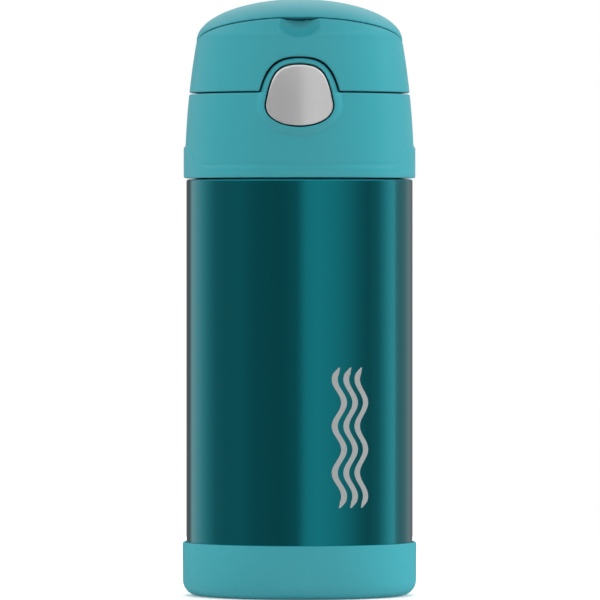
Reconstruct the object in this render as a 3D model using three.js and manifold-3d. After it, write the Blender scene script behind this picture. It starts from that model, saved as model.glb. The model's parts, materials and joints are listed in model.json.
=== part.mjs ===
// An insulated drinking bottle: a vacuum-walled steel body in a rubber base boot, and a screw-on lid
// with a push button, a hinged flip cap, a fold-down silicone spout on a straw and a carry handle.
// Millimetres. +Z is up, the push button faces -Y, and the origin is the middle of the flat base.

import * as THREE from "three";
import { mergeVertices } from "three/addons/utils/BufferGeometryUtils.js";
import Module from "manifold-3d";

const wasm = await Module();
wasm.setup();

// ---- Driving dimensions ----

const GAP = 0.3; // between pieces that touch
const SIDES = 40; // flats round a large turned piece

const BOOT_R = 35.5;
const BOOT_TOP = 16.2;
const BOOT_CORNER = 4.6;

const SHELL_R = 34.3;
const SHELL_WALL = 0.6;
const SHELL_BOTTOM = 4.2;
const SHELL_TOP = 125.7;
const SHOULDER_CORNER = 1.4;
const VACUUM_GAP = 2.1;

const NECK_R = 24.6; // outside of the neck
const LIP_TOP = 139.8;
const THREAD_PITCH = 4;
const THREAD_DEPTH = 1;
const THREAD_START = 130.5;
const THREAD_TURNS = 1.25;

const COLLAR_BOTTOM = 126.4;
const BAND_R = 35.15;
const BAND_TOP = 129.6;
const GRIP_TOP = 136;
const SEAM = 152.1; // top of the collar, where the flip cap starts
const COLLAR_WALL = 1.8;
const DECK_BOTTOM = 141.5;
const DECK_TOP = 143.5;

const CROWN_START = 168.1; // the cap's side turns into its elliptical crown
const CROWN_R = 31.2;
const CROWN_H = 12.6;
const CAP_WALL = 1.8;

const ARCH_HALF = 12.1; // the cut-out in the cap round the button's housing
const ARCH_TOP = 162.6;
const BUTTON_HALF = 10;
const BUTTON_LOW = 141.7;
const BUTTON_HIGH = 160.1;
const BUTTON_PROUD = 0.6;
const HOUSING_BACK = -29.6;
const STEM_HALF = 3.5; // the button's stem, which pushes the latch
const LATCH_HALF = 9;
const LATCH_TOP = 157.9;
const LATCH_THICKNESS = 1.6;
const SPRING_X = 8.3; // the two springs behind the latch
const SPRING_Z = 147;
const SPRING_FRONT = -24.3;
const SPRING_BACK = -19.5;
const CATCH_FRONT = -25.2;

const HINGE_Y = 32;
const HINGE_Z = 153.5;
const KNUCKLE_R = 2.6;
const PIN_R = 1.1;
const PIN_BORE_R = 1.4;
const EAR_NEAR = 7.2; // the collar's hinge ears, from the middle outwards
const EAR_FAR = 13;
const CAP_KNUCKLE_NEAR = 3.6; // the cap's knuckles lie between the ears
const CAP_KNUCKLE_FAR = 6.8;

const BROW_FRONT = 174.6; // underside of the folded handle at its front edge
const BROW_Y = -26.7;
const BROW_SLOPE = 0.265;
const GRIP_HALF = 22; // half the handle's inner width
const GRIP_FRONT = -9;
const GRIP_CORNER = 19;
const PIVOT_Y = 10;
const PIVOT_Z = 170.4;
const PIVOT_END_R = 5.4;
const PIVOT_PIN_R = 1.5;
const PIVOT_BORE_R = 1.8;
const NOTCH_R = 5.7; // the scoop for a finger under the handle's front edge
const NOTCH_Y = -29.7;
const NOTCH_STRETCH = 1.2; // wider than it is tall

const SPOUT_Y = 8;
const SPOUT_Z = 149.5;
const SPOUT_LENGTH = 25;
const STRAW_R = 3.7;
const STRAW_LOW = 13.5;
const VENT_X = -13; // the air vent in the deck, level with the spout
const PLUG_R = 22.2; // the lid's plug inside the neck
const PLUG_LOW = 134;

const TEAL = 0x409ca5;
const TEAL_STEEL = 0x0b6468;
const SILVER = 0xb4b7ba;
const STEEL = 0xc4c6c8;
const SILICONE = 0xe8ecec;
const CLEAR = 0xd9e4e6;
const DARK = 0x3a4347;

// ---- Shape tools ----

// A closed geometry as a manifold-3d solid.
function solid(geometry) {
  const bare = geometry.clone();
  bare.deleteAttribute("normal");
  bare.deleteAttribute("uv");
  const merged = mergeVertices(bare, 1e-4);
  const made = new wasm.Manifold(
    new wasm.Mesh({
      numProp: 3,
      vertProperties: new Float32Array(merged.attributes.position.array),
      triVerts: new Uint32Array(merged.index.array),
    }),
  );
  return made;
}

function geometryOf(body) {
  const mesh = body.getMesh();
  return new THREE.BufferGeometry()
    .setAttribute("position", new THREE.BufferAttribute(mesh.vertProperties, 3))
    .setIndex(new THREE.BufferAttribute(mesh.triVerts, 1));
}

// [radius, height] points, turned about Z. The profile closes on itself or ends on the axis.
function turned(profile, sides = SIDES) {
  const onAxis = profile[0][0] === 0;
  const ring = onAxis ? profile : [...profile, profile[0]];
  const points = ring.map(([r, z]) => new THREE.Vector2(r, z));
  if (THREE.ShapeUtils.area(points) < 0) points.reverse();
  return solid(new THREE.LatheGeometry(points, sides).rotateX(Math.PI / 2));
}

// An upright round post at x, y.
function postAt(x, y, r, low, high, sides) {
  return turnedAt([[0, low], [r, low], [r, high], [0, high]], x, y, sides);
}

// A short solid of revolution moved to x, y.
function turnedAt(profile, x, y, sides) {
  return turned(profile, sides).translate([x, y, 0]);
}

function box(x0, x1, y0, y1, z0, z1) {
  const block = new THREE.BoxGeometry(x1 - x0, y1 - y0, z1 - z0);
  return solid(block.translate((x0 + x1) / 2, (y0 + y1) / 2, (z0 + z1) / 2));
}

function rodX(x0, x1, y, z, r, sides = 24) {
  const rod = new THREE.CylinderGeometry(r, r, x1 - x0, sides).rotateZ(Math.PI / 2);
  return solid(rod.translate((x0 + x1) / 2, y, z));
}

function rodY(y0, y1, x, z, r, sides = 24) {
  const rod = new THREE.CylinderGeometry(r, r, y1 - y0, sides);
  return solid(rod.translate(x, (y0 + y1) / 2, z));
}

function extruded(shape, depth, curveSegments) {
  return new THREE.ExtrudeGeometry(shape, { depth, bevelEnabled: false, curveSegments });
}

// An outline in X and Z, extruded along Y from y0 to y1.
function frontPrism(shape, y0, y1, curveSegments = 10) {
  const block = extruded(shape, y1 - y0, curveSegments).rotateX(Math.PI / 2);
  return solid(block.translate(0, y1, 0));
}

// An outline in Y and Z, extruded along X both ways from the middle.
function sidePrism(shape, halfWidth, curveSegments = 10) {
  const turn = new THREE.Matrix4().makeBasis(
    new THREE.Vector3(0, 1, 0),
    new THREE.Vector3(0, 0, 1),
    new THREE.Vector3(1, 0, 0),
  );
  const block = extruded(shape, 2 * halfWidth, curveSegments).applyMatrix4(turn);
  return solid(block.translate(-halfWidth, 0, 0));
}

function joined(...bodies) {
  return bodies.reduce((all, body) => all.add(body));
}

function mirrored(body) {
  return body.add(body.mirror([1, 0, 0]));
}

// A quarter of a round corner, from one angle to another in degrees, as [radius, height] points.
function corner(r, z, radius, from, to, steps = 4) {
  return Array.from({ length: steps + 1 }, (_, i) => {
    const angle = THREE.MathUtils.degToRad(from + ((to - from) * i) / steps);
    return [r + radius * Math.cos(angle), z + radius * Math.sin(angle)];
  });
}

// A tapered thread ridge on a cylinder: root radius, crest radius, and the height of its start.
function threadRidge(root, crest, start, turns) {
  const steps = Math.round(turns * 36);
  const rootHalf = 0.75;
  const crestHalf = 0.4;
  const runOut = 4; // steps over which each end tapers into the wall
  const sunk = root + Math.sign(root - crest) * 0.25;
  const vertices = [];
  for (let i = 0; i <= steps; i++) {
    const angle = (i / 36) * 2 * Math.PI;
    const z = start + (i / 36) * THREAD_PITCH;
    const rise = Math.min(1, 0.15 + Math.min(i, steps - i) / runOut);
    const top = root + (crest - root) * rise;
    const section = [
      [sunk, -rootHalf],
      [top, -crestHalf * rise],
      [top, crestHalf * rise],
      [sunk, rootHalf],
    ];
    for (const [r, dz] of section) {
      vertices.push(r * Math.cos(angle), r * Math.sin(angle), z + dz);
    }
  }
  const faces = [];
  for (let i = 0; i < steps; i++) {
    for (let k = 0; k < 4; k++) {
      const a = 4 * i + k;
      const b = 4 * i + ((k + 1) % 4);
      faces.push(a, a + 4, b, b, a + 4, b + 4);
    }
  }
  const last = 4 * steps;
  faces.push(0, 1, 2, 0, 2, 3, last, last + 2, last + 1, last, last + 3, last + 2);
  if (crest < root) faces.reverse();
  const geometry = new THREE.BufferGeometry();
  geometry.setAttribute("position", new THREE.Float32BufferAttribute(vertices, 3));
  geometry.setIndex(faces);
  return solid(geometry);
}

// A coil of round wire with its axis along Z, closed at both ends.
class Coil extends THREE.Curve {
  constructor(radius, length, turns) {
    super();
    Object.assign(this, { radius, length, turns });
  }
  getPoint(t) {
    const angle = 2 * Math.PI * this.turns * t;
    const x = this.radius * Math.cos(angle);
    const y = this.radius * Math.sin(angle);
    return new THREE.Vector3(x, y, this.length * (t - 0.5));
  }
}

function wire(curve, wireR, steps) {
  const ring = new THREE.Shape().absarc(0, 0, wireR, 0, 2 * Math.PI);
  const options = { steps, extrudePath: curve, curveSegments: 3, bevelEnabled: false };
  return new THREE.ExtrudeGeometry(ring, options);
}

// ---- Curves that several pieces share ----

// Outside radius of the lid's side at height z, from the band up to the crown.
function lidRadius(z) {
  const u = (z - BAND_TOP) / (CROWN_START - BAND_TOP);
  return 34.75 - 0.45 * u - 3.1 * u * u;
}

function lidSide(z0, z1, inset = 0, steps = 4) {
  return Array.from({ length: steps + 1 }, (_, i) => {
    const z = z0 + ((z1 - z0) * i) / steps;
    return [lidRadius(z) - inset, z];
  });
}

function crown(inset = 0, steps = 7) {
  return Array.from({ length: steps }, (_, i) => {
    const angle = ((i + 1) / steps) * (Math.PI / 2);
    const r = i === steps - 1 ? 0 : (CROWN_R - inset) * Math.cos(angle);
    return [r, CROWN_START + (CROWN_H - inset) * Math.sin(angle)];
  });
}

// The lid's whole outer form as a filled solid, from a height up.
function lidForm(from, inset = 0) {
  return turned([[0, from], ...lidSide(from, CROWN_START, inset, 5), ...crown(inset)]);
}

// The arch over the button's housing, grown by a margin.
function archShape(grow, foot) {
  const half = ARCH_HALF + grow;
  const top = ARCH_TOP + grow;
  return new THREE.Shape()
    .moveTo(-half, foot)
    .lineTo(half, foot)
    .lineTo(half, SEAM)
    .bezierCurveTo(half - 2.1, top - 2, half - 5.6, top, 0, top)
    .bezierCurveTo(-half + 5.6, top, -half + 2.1, top - 2, -half, SEAM);
}

// The button's outline: a narrow rounded top over a broad round bottom, grown by a margin.
function buttonShape(grow) {
  const half = BUTTON_HALF + grow;
  const top = BUTTON_HIGH + grow;
  const low = BUTTON_LOW - grow;
  const waist = 148.4;
  return new THREE.Shape()
    .moveTo(0, top)
    .bezierCurveTo(-half * 0.66, top, -half * 0.83, top - 2.7, -half, waist)
    .bezierCurveTo(-half * 1.04, waist - 3.8, -half * 0.62, low, 0, low)
    .bezierCurveTo(half * 0.62, low, half * 1.04, waist - 3.8, half, waist)
    .bezierCurveTo(half * 0.83, top - 2.7, half * 0.66, top, 0, top);
}

function browHeight(y) {
  return BROW_FRONT - BROW_SLOPE * (y - BROW_Y);
}

// Side view of the folded handle: all above its sloping underside, back to a round pivot end.
function handleSide(grow) {
  const drop = grow * Math.hypot(1, BROW_SLOPE);
  const tilt = -Math.atan(BROW_SLOPE);
  return new THREE.Shape()
    .moveTo(-40, browHeight(-40) - drop)
    .lineTo(PIVOT_Y - 2, browHeight(PIVOT_Y - 2) - drop)
    .absarc(PIVOT_Y, PIVOT_Z, PIVOT_END_R + grow, tilt - Math.PI / 2, Math.PI / 2, false)
    .lineTo(PIVOT_Y, 200)
    .lineTo(-40, 200);
}

// What shows inside the handle, turned about the pivot axis so that the handle swings clear of it.
// Seen from above its front is straight with round corners.
function gripForm(shrink) {
  const half = GRIP_HALF - shrink;
  const profile = [[0, -half]];
  const steps = 10;
  for (let i = 0; i <= steps; i++) {
    const angle = Math.PI * (1 - i / steps);
    const x = Math.sign(Math.cos(angle)) * (half - GRIP_CORNER) + GRIP_CORNER * Math.cos(angle);
    const y = GRIP_FRONT + GRIP_CORNER * (1 - Math.sin(angle));
    const middle = Math.abs(Math.cos(angle)) < 0.01;
    if (!middle) profile.push([Math.hypot(y - PIVOT_Y, browHeight(y) - PIVOT_Z) - shrink, x]);
  }
  profile.push([0, half]);
  return turned(profile, 56).rotate([0, 90, 0]).translate([0, PIVOT_Y, PIVOT_Z]);
}

// The space that the folded handle lies in, with room behind its pivot end to swing up.
function handleSpace(grow) {
  const behind = PIVOT_Y + PIVOT_END_R + 1 + grow;
  const swing = box(-40, 40, PIVOT_Y, behind, PIVOT_Z, 200);
  return sidePrism(handleSide(grow), 40).add(swing).subtract(gripForm(grow));
}

// ---- The vacuum body ----

function baseBoot() {
  const inner = SHELL_R + GAP;
  const floor = SHELL_BOTTOM - GAP;
  return turned([
    [0, 1.2],
    [19, 1.2],
    [20.2, 0],
    ...corner(BOOT_R - 0.15 - BOOT_CORNER, BOOT_CORNER, BOOT_CORNER, -90, 0),
    ...corner(BOOT_R - 0.5, BOOT_TOP - 0.5, 0.5, 0, 90, 2),
    [inner, BOOT_TOP],
    [inner, floor + 1],
    [inner - 1, floor],
    [0, floor],
  ]);
}

function outerShell() {
  const wall = SHELL_WALL;
  const r = SHELL_R;
  const neckTop = LIP_TOP - SHELL_WALL - GAP;
  const shell = turned([
    [r - 0.9, SHELL_BOTTOM],
    [r, SHELL_BOTTOM + 0.9],
    ...corner(r - SHOULDER_CORNER, SHELL_TOP - SHOULDER_CORNER, SHOULDER_CORNER, 0, 90),
    [NECK_R + 1, SHELL_TOP + 0.7],
    [NECK_R, SHELL_TOP + 1.7],
    [NECK_R, neckTop],
    [NECK_R - wall, neckTop],
    [NECK_R - wall, SHELL_TOP + 0.3],
    [r - SHOULDER_CORNER, SHELL_TOP - wall],
    [r - wall, SHELL_TOP - SHOULDER_CORNER],
    [r - wall, SHELL_BOTTOM],
  ]);
  const ridge = threadRidge(NECK_R, NECK_R + THREAD_DEPTH, THREAD_START, THREAD_TURNS);
  return shell.add(ridge);
}

function innerLiner() {
  const wall = 0.5;
  const r = SHELL_R - SHELL_WALL - VACUUM_GAP;
  const neck = NECK_R - SHELL_WALL - GAP;
  const floor = 8.5;
  return turned([
    [0, floor + 2],
    [10, floor + 1.5],
    [r - 8, floor],
    ...corner(r - 5, floor + 5, 5, -90, 0, 3),
    [r, 114],
    [r - 2, 118],
    [neck + 1, 123.4],
    [neck, 124.4],
    [neck, LIP_TOP - SHELL_WALL],
    [NECK_R, LIP_TOP - SHELL_WALL],
    [NECK_R, LIP_TOP - 0.15],
    [NECK_R - 0.2, LIP_TOP],
    [neck - wall, LIP_TOP],
    [neck - wall, 124.2],
    [neck + 1 - wall, 123],
    [r - 2 - wall, 117.8],
    [r - wall, 114],
    ...corner(r - 5, floor + 5, 5 - wall, 0, -90, 3),
    [r - 8, floor + wall],
    [10, floor + 1.5 + wall],
    [0, floor + 2 + wall],
  ]);
}

function shellBottom() {
  const rim = SHELL_R - SHELL_WALL - GAP;
  const low = SHELL_BOTTOM;
  const high = low + SHELL_WALL;
  return turned([
    [1.2, low + 2.4],
    [7, low + 2.4],
    [9, low],
    [rim, low],
    [rim, high],
    [8.6, high],
    [6.6, high + 2.4],
    [1.2, high + 2.4],
  ]);
}

function vacuumSeal() {
  const top = SHELL_BOTTOM + 2.4 - GAP;
  return turned([[0, top - 1.1], [2.2, top - 1.1], [3, top - 0.5], [3, top], [0, top]], 24);
}

function getter() {
  const low = SHELL_BOTTOM + SHELL_WALL + GAP;
  return turnedAt([[0, low], [4, low], [4, low + 2], [3.4, low + 2.5], [0, low + 2.5]], 20, 0, 24);
}

// ---- The screw lid ----

function lidGasket() {
  const low = LIP_TOP + GAP;
  const high = DECK_BOTTOM - GAP;
  const middle = (low + high) / 2;
  return turned([
    [22.9, middle],
    [23.3, low],
    [25.2, low],
    [25.6, middle],
    [25.2, high],
    [23.3, high],
  ]);
}

// The raised pads on both sides, which give the hand a grip to unscrew the lid.
function gripPads() {
  const ring = turned([
    [33.6, BAND_TOP - 1],
    [BAND_R, BAND_TOP - 1],
    [BAND_R, GRIP_TOP - 0.5],
    [BAND_R - 0.5, GRIP_TOP],
    [33.6, GRIP_TOP],
  ]);
  const outline = new THREE.Shape()
    .moveTo(-21.5, BAND_TOP - 1)
    .lineTo(21.5, BAND_TOP - 1)
    .lineTo(21.5, BAND_TOP)
    .bezierCurveTo(14, BAND_TOP + 0.6, 12, GRIP_TOP, 6.5, GRIP_TOP)
    .lineTo(-6.5, GRIP_TOP)
    .bezierCurveTo(-12, GRIP_TOP, -14, BAND_TOP + 0.6, -21.5, BAND_TOP);
  return ring.intersect(sidePrism(outline, 40, 5));
}

function lidCollar() {
  const wall = turned([
    [BAND_R - COLLAR_WALL, COLLAR_BOTTOM],
    [BAND_R - 0.4, COLLAR_BOTTOM],
    [BAND_R, COLLAR_BOTTOM + 0.4],
    [BAND_R, BAND_TOP - 0.4],
    [lidRadius(BAND_TOP + 0.2), BAND_TOP + 0.2],
    ...lidSide(BAND_TOP + 4, SEAM, 0, 4),
    ...lidSide(BAND_TOP, SEAM, COLLAR_WALL, 2).reverse(),
  ]);
  const housing = frontPrism(archShape(-GAP, 139.5), -40, HOUSING_BACK, 8);
  const pocket = frontPrism(buttonShape(GAP), -40, -20, 8);
  const ear = joined(
    rodX(EAR_NEAR, EAR_FAR, HINGE_Y, HINGE_Z, KNUCKLE_R),
    box(EAR_NEAR, EAR_FAR, HINGE_Y - 1.6, HINGE_Y + 1.6, SEAM - 4, HINGE_Z),
  );
  const relief = rodX(-EAR_NEAR + 0.2, EAR_NEAR - 0.2, HINGE_Y, HINGE_Z, KNUCKLE_R + 0.5);
  const bore = rodX(-EAR_FAR - 1, EAR_FAR + 1, HINGE_Y, HINGE_Z, PIN_BORE_R, 16);
  return joined(wall, gripPads(), lidForm(136).intersect(housing), mirrored(ear))
    .subtract(pocket)
    .subtract(relief)
    .subtract(bore);
}

// Inner moulding: the deck, the threaded skirt, the plug that enters the neck and the straw's socket.
function lidInsert() {
  const skirtR = NECK_R + 1.5;
  const flange = lidRadius(DECK_TOP) - COLLAR_WALL - GAP;
  const body = turned([
    [0, DECK_BOTTOM],
    [PLUG_R - 1.7, DECK_BOTTOM],
    [PLUG_R - 1.7, PLUG_LOW + 0.5],
    [PLUG_R - 0.8, PLUG_LOW],
    [PLUG_R, PLUG_LOW + 0.8],
    [PLUG_R, DECK_BOTTOM],
    [skirtR, DECK_BOTTOM],
    [skirtR, SHELL_TOP + 1.7],
    [skirtR + 2, SHELL_TOP + 1.7],
    [skirtR + 2, DECK_BOTTOM],
    [flange, DECK_BOTTOM],
    [flange, DECK_TOP],
    [0, DECK_TOP],
  ]);
  const crest = NECK_R + THREAD_DEPTH - 0.6;
  const ridge = threadRidge(skirtR, crest, THREAD_START - THREAD_PITCH / 2, 1);
  const below = PLUG_LOW - 2;
  const socket = postAt(0, SPOUT_Y, STRAW_R + 1.7, below, DECK_TOP - 1, 24);
  const socketHole = postAt(0, SPOUT_Y, STRAW_R + GAP, below - 2, DECK_BOTTOM, 24);
  const flow = postAt(0, SPOUT_Y, STRAW_R - 1.1, below - 2, DECK_TOP + 5, 16);
  const vent = postAt(VENT_X, SPOUT_Y, 1.9, below - 2, DECK_TOP + 5, 16);
  const seatFront = SPRING_BACK + GAP;
  const seatHalf = 2.2;
  const springSeat = box(
    SPRING_X - seatHalf,
    SPRING_X + seatHalf,
    seatFront,
    seatFront + 1.4,
    DECK_TOP - 0.5,
    SPRING_Z + 2.4,
  );
  const housingSpace = box(-EAR_FAR, EAR_FAR, -40, HOUSING_BACK + 1.4, below, DECK_TOP + 5);
  return joined(body, ridge, socket, mirrored(springSeat))
    .subtract(housingSpace)
    .subtract(socketHole)
    .subtract(flow)
    .subtract(vent);
}

function pushButton() {
  const proud = lidForm(138, -BUTTON_PROUD);
  const face = frontPrism(buttonShape(0), -40, HOUSING_BACK - 1, 8).intersect(proud);
  const stem = box(-STEM_HALF, STEM_HALF, HOUSING_BACK - 1.5, HOUSING_BACK + 0.1, SPRING_Z, SPRING_Z + 5);
  return face.add(stem);
}

// The slide behind the button: a plate, and a frame whose rear bar stands over the cap's catch.
function buttonLatch() {
  const front = HOUSING_BACK + 0.4;
  const plateBack = front + 1.2;
  const barFront = CATCH_FRONT + 3.4;
  const barBack = barFront + 1.4;
  const half = LATCH_HALF;
  const frameLow = LATCH_TOP - LATCH_THICKNESS;
  const low = DECK_TOP + 0.7;
  const plate = box(-half, half, front, plateBack, low, LATCH_TOP);
  const window = box(2 - half, half - 2, plateBack, barFront, frameLow - 1, LATCH_TOP + 1);
  const frame = box(-half, half, front, barBack, frameLow, LATCH_TOP).subtract(window);
  const foot = box(half - 3.2, half, front, SPRING_FRONT - GAP, low, SPRING_Z + 3);
  return joined(plate, frame, mirrored(foot));
}

function buttonSpring(side) {
  const wireR = 0.25;
  const length = SPRING_BACK - SPRING_FRONT - 0.6;
  const coil = wire(new Coil(1.7, length, 4.5), wireR, 36);
  return coil.rotateX(Math.PI / 2).translate(side * SPRING_X, (SPRING_FRONT + SPRING_BACK) / 2, SPRING_Z);
}

function hingePin() {
  return geometryOf(rodX(-EAR_FAR, EAR_FAR, HINGE_Y, HINGE_Z, PIN_R, 16));
}

function hingeSpring() {
  const coil = solid(wire(new Coil(1.75, 5.4, 5.5), 0.25, 44).rotateY(Math.PI / 2).rotateX(Math.PI / 2));
  const leg = box(2.45, 2.95, -2, -1.5, -6, 0.2);
  return geometryOf(coil.add(leg).translate([0, HINGE_Y, HINGE_Z]));
}

// The spout's fixed foot: a silicone flange on the deck with a short neck.
function spoutBase() {
  const low = DECK_TOP + GAP;
  return turnedAt(
    [
      [2.2, low],
      [8.5, low],
      [8.5, low + 1],
      [6, low + 1.6],
      [4.4, low + 1.9],
      [2.2, low + 1.9],
    ],
    0,
    SPOUT_Y,
    32,
  );
}

// The part of the spout that folds: it lies forward when shut, and stands up when the cap opens.
function spout() {
  const mouth = -SPOUT_LENGTH;
  const tube = new THREE.Shape()
    .absarc(0, 0, 3.6, -1.1, 1.6, false)
    .lineTo(mouth + 2, 4.6)
    .quadraticCurveTo(mouth, 4.6, mouth, 2.4)
    .lineTo(mouth, -2.6)
    .lineTo(mouth + 6, -3.2);
  const side = sidePrism(tube, 6, 6);
  const round = solid(new THREE.CylinderGeometry(5.6, 5.2, SPOUT_LENGTH + 4, 24));
  const body = side.intersect(round.scale([1, 1, 0.85]).translate([0, mouth / 2 + 2, 0.6]));
  const bore = rodY(mouth - 1, -1, 0, 0.9, 2);
  return body.subtract(bore).translate([0, SPOUT_Y, SPOUT_Z]);
}

function ventValve() {
  const low = DECK_BOTTOM - 1.2;
  const seat = DECK_TOP + GAP;
  return turnedAt(
    [
      [0, low],
      [1, low],
      [1.5, low + 1.4],
      [1.5, seat],
      [3.2, seat],
      [3.2, seat + 0.7],
      [2.4, seat + 1.2],
      [0, seat + 1.2],
    ],
    VENT_X,
    SPOUT_Y,
    24,
  );
}

function drinkingStraw() {
  const bore = STRAW_R - 1;
  const high = DECK_BOTTOM - GAP;
  const wall = [[bore, STRAW_LOW], [STRAW_R, STRAW_LOW], [STRAW_R, high], [bore, high]];
  return turnedAt(wall, 0, SPOUT_Y, 24);
}

// ---- The flip cap and its handle ----

function flipCap() {
  const bottom = SEAM + GAP;
  const form = lidForm(bottom);
  const hollow = lidForm(bottom - 5, CAP_WALL).subtract(handleSpace(0.35 + 1.7));
  const notchHalf = NOTCH_R * NOTCH_STRETCH + 1.5;
  const notchBack = NOTCH_Y + NOTCH_R + 1.6;
  const notchBlock = lidForm(bottom, 0.4).intersect(
    box(-notchHalf, notchHalf, -32, notchBack, BROW_FRONT - NOTCH_R - 2.4, BROW_FRONT + 2),
  );
  const notch = solid(new THREE.SphereGeometry(NOTCH_R, 24, 12).rotateX(Math.PI / 2))
    .scale([NOTCH_STRETCH, 1, 1])
    .translate([0, NOTCH_Y, BROW_FRONT]);
  const arch = frontPrism(archShape(0, 140), -40, -23, 8);
  const earSpace = rodX(EAR_NEAR - 0.25, EAR_FAR + GAP, HINGE_Y, HINGE_Z, KNUCKLE_R + 0.5);
  const spring = CAP_KNUCKLE_NEAR - 0.2;
  const springSpace = rodX(-spring, spring, HINGE_Y, HINGE_Z, KNUCKLE_R);
  const knuckle = joined(
    rodX(CAP_KNUCKLE_NEAR, CAP_KNUCKLE_FAR, HINGE_Y, HINGE_Z, KNUCKLE_R),
    box(CAP_KNUCKLE_NEAR, CAP_KNUCKLE_FAR, HINGE_Y - 1.4, HINGE_Y + 0.6, HINGE_Z, HINGE_Z + 4.5),
  );
  const bore = rodX(-EAR_FAR - 7, EAR_FAR + 7, HINGE_Y, HINGE_Z, PIN_BORE_R, 16);
  const pivotHole = rodX(-GRIP_HALF - 2, GRIP_HALF + 2, PIVOT_Y, PIVOT_Z, PIVOT_BORE_R, 16);
  return form
    .subtract(hollow)
    .add(notchBlock)
    .subtract(handleSpace(0.35))
    .subtract(notch)
    .subtract(arch)
    .subtract(mirrored(earSpace))
    .add(mirrored(knuckle))
    .subtract(springSpace)
    .subtract(bore)
    .subtract(pivotHole);
}

// Inner moulding that covers the ribs inside the cap and presses the folded spout shut.
function capInnerLiner() {
  const ceiling = 158.9;
  const wall = 1.2;
  const outer = 28.6;
  const inner = outer - wall;
  const rim = SEAM + 1.1;
  const cup = turned([
    [0, ceiling],
    [inner, ceiling],
    [inner, rim],
    [outer, rim],
    [outer, ceiling + 0.8],
    [outer - 0.4, ceiling + wall],
    [0, ceiling + wall],
  ]);
  const latchHalf = LATCH_HALF + 4.4;
  const latchSpace = box(-latchHalf, latchHalf, -40, CATCH_FRONT + 5.6, rim - 10, ceiling + 10);
  return cup.subtract(latchSpace);
}

function capCatch() {
  const front = CATCH_FRONT;
  const half = 5;
  const low = LATCH_TOP - 3.9;
  const noseTop = low + 1.5;
  const top = low + 12.2;
  return joined(
    box(-half, half, front, front + 1.6, low, top),
    box(-half, half, front, front + 2.8, low, noseTop),
    box(-half - 1.5, half + 1.5, front - 2.6, front + 3, top - 1.4, top),
  );
}

function handlePivot(side) {
  const head = GRIP_HALF - 3.7;
  const pin = joined(
    rodX(head, head + 1.3, PIVOT_Y, PIVOT_Z, 2.6, 20),
    rodX(head + 0.7, GRIP_HALF + 3.6, PIVOT_Y, PIVOT_Z, PIVOT_PIN_R, 20),
  );
  return side > 0 ? pin : pin.mirror([1, 0, 0]);
}

function carryHandle() {
  const bail = lidForm(150).intersect(sidePrism(handleSide(0), 40));
  const hole = rodX(-GRIP_HALF - 4, GRIP_HALF + 4, PIVOT_Y, PIVOT_Z, PIVOT_BORE_R, 20);
  return bail.subtract(gripForm(0)).subtract(hole);
}

// ---- Assembly ----

const materials = {
  teal: new THREE.MeshStandardMaterial({ color: TEAL, roughness: 0.45 }),
  paintedSteel: new THREE.MeshStandardMaterial({ color: TEAL_STEEL, roughness: 0.25, metalness: 0.8 }),
  silver: new THREE.MeshStandardMaterial({ color: SILVER, roughness: 0.35, metalness: 0.4 }),
  steel: new THREE.MeshStandardMaterial({ color: STEEL, roughness: 0.3, metalness: 1 }),
  silicone: new THREE.MeshStandardMaterial({ color: SILICONE, roughness: 0.6 }),
  clear: new THREE.MeshStandardMaterial({ color: CLEAR, roughness: 0.3 }),
  dark: new THREE.MeshStandardMaterial({ color: DARK, roughness: 0.6 }),
};

function piece(name, material, shape) {
  const geometry = shape.isBufferGeometry ? shape : geometryOf(shape);
  geometry.computeVertexNormals();
  const mesh = new THREE.Mesh(geometry, materials[material]);
  mesh.name = name;
  return mesh;
}

const body = new THREE.Group();
body.add(
  piece("outer_shell", "paintedSteel", outerShell()),
  piece("inner_liner", "steel", innerLiner()),
  piece("shell_bottom", "steel", shellBottom()),
  piece("vacuum_seal", "dark", vacuumSeal()),
  piece("getter", "dark", getter()),
  piece("base_boot", "teal", baseBoot()),
);

const lid = new THREE.Group();
lid.add(
  piece("lid_gasket", "silicone", lidGasket()),
  piece("lid_collar", "teal", lidCollar()),
  piece("lid_insert", "dark", lidInsert()),
  piece("push_button", "silver", pushButton()),
  piece("button_latch", "dark", buttonLatch()),
  piece("button_spring_left", "steel", buttonSpring(-1)),
  piece("button_spring_right", "steel", buttonSpring(1)),
  piece("hinge_pin", "steel", hingePin()),
  piece("hinge_spring", "steel", hingeSpring()),
  piece("spout_base", "silicone", spoutBase()),
  piece("spout", "silicone", spout()),
  piece("vent_valve", "silicone", ventValve()),
  piece("drinking_straw", "clear", drinkingStraw()),
);

const cap = new THREE.Group();
cap.add(
  piece("flip_cap", "teal", flipCap()),
  piece("cap_inner_liner", "dark", capInnerLiner()),
  piece("cap_catch", "dark", capCatch()),
  piece("carry_handle", "teal", carryHandle()),
  piece("handle_pivot_left", "steel", handlePivot(-1)),
  piece("handle_pivot_right", "steel", handlePivot(1)),
);

const bottle = new THREE.Group();
bottle.add(body, lid, cap);

export default bottle;
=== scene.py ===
# The looks of an insulated drinking bottle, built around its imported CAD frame.
# Shapes are worked out in millimetres and turned into metres as each mesh is made.

import json
import math

import bmesh
import bpy
from mathutils import Matrix, Vector


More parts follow.
